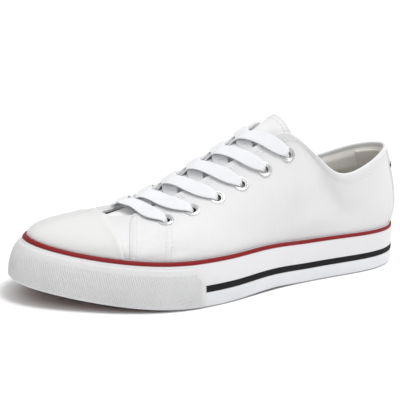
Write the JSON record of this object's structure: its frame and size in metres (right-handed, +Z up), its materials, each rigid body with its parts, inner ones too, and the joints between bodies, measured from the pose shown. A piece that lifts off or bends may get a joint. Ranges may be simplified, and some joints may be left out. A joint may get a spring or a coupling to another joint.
{
  "type": "canvas sneaker",
  "caption": "Low-top lace-up canvas sneaker for the left foot, with a rubber toe cap, ribbed toe bumper and striped foxing.",
  "frame": {"origin": "centre of the footprint box, on the floor", "axes": "+Z up, +Y from the toe towards the heel, +X towards the lateral (little-toe) side"},
  "size_m": [0.1054, 0.2828, 0.1078],
  "materials": {
    "outsole_rubber": "satin",
    "foxing_rubber": "satin",
    "bumper_rubber": "satin ribbed",
    "insole_cloth": "woven",
    "canvas": "woven cotton",
    "cap_rubber": "smooth satin",
    "tongue_canvas": "woven cotton",
    "lace_cotton": "flat braid",
    "nickel": "polished nickel"
  },
  "bodies": {
    "root": {"outsole": "outsole_rubber", "foxing": "foxing_rubber", "toe_bumper": "bumper_rubber", "insole": "insole_cloth", "upper": "canvas", "toe_cap": "cap_rubber", "tongue": "tongue_canvas", "lace": "lace_cotton", "eyelet_lateral_1": "nickel", "eyelet_lateral_2": "nickel", "eyelet_lateral_3": "nickel", "eyelet_lateral_4": "nickel", "eyelet_lateral_5": "nickel", "eyelet_lateral_6": "nickel", "eyelet_medial_1": "nickel", "eyelet_medial_2": "nickel", "eyelet_medial_3": "nickel", "eyelet_medial_4": "nickel", "eyelet_medial_5": "nickel", "eyelet_medial_6": "nickel"}
  },
  "joints": []
}
